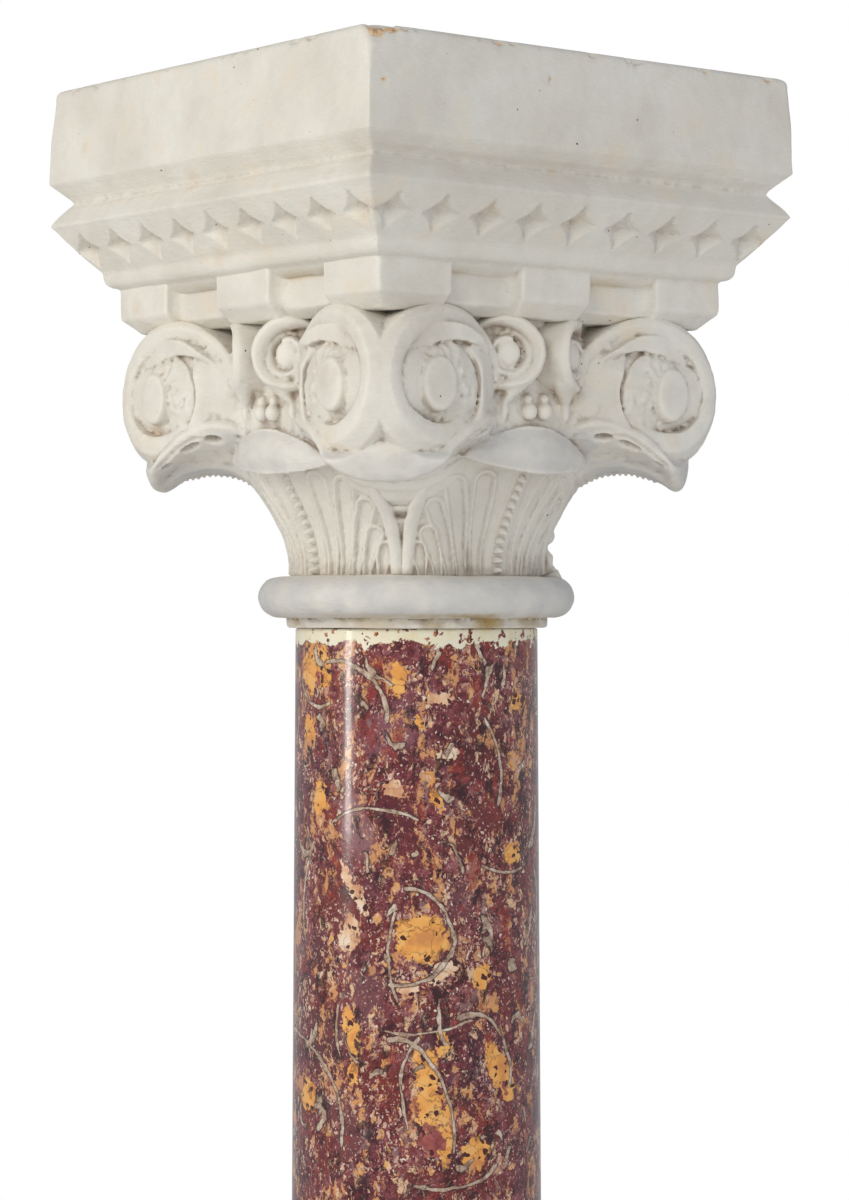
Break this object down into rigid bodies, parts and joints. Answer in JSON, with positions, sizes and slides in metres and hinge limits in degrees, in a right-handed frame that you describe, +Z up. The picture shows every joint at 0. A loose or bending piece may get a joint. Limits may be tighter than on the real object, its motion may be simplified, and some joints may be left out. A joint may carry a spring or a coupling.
{
  "type": "corinthian column",
  "caption": "Free-standing corinthian column: a polished marble shaft on a moulded base, carrying a carved capital with a square slab to stand a bust or vase on.",
  "frame": {"origin": "centre of the base's underside, on the floor", "axes": "+Z up along the column's axis; X and Y along the sides of the square slab and plinth"},
  "size_m": [0.367, 0.367, 1.85],
  "materials": {
    "painted_stone": "carved stone under old cream paint",
    "marble": "polished red and violet breccia marble"
  },
  "bodies": {
    "root": {"base": "painted_stone", "shaft": "marble", "capital": "painted_stone"}
  },
  "joints": []
}
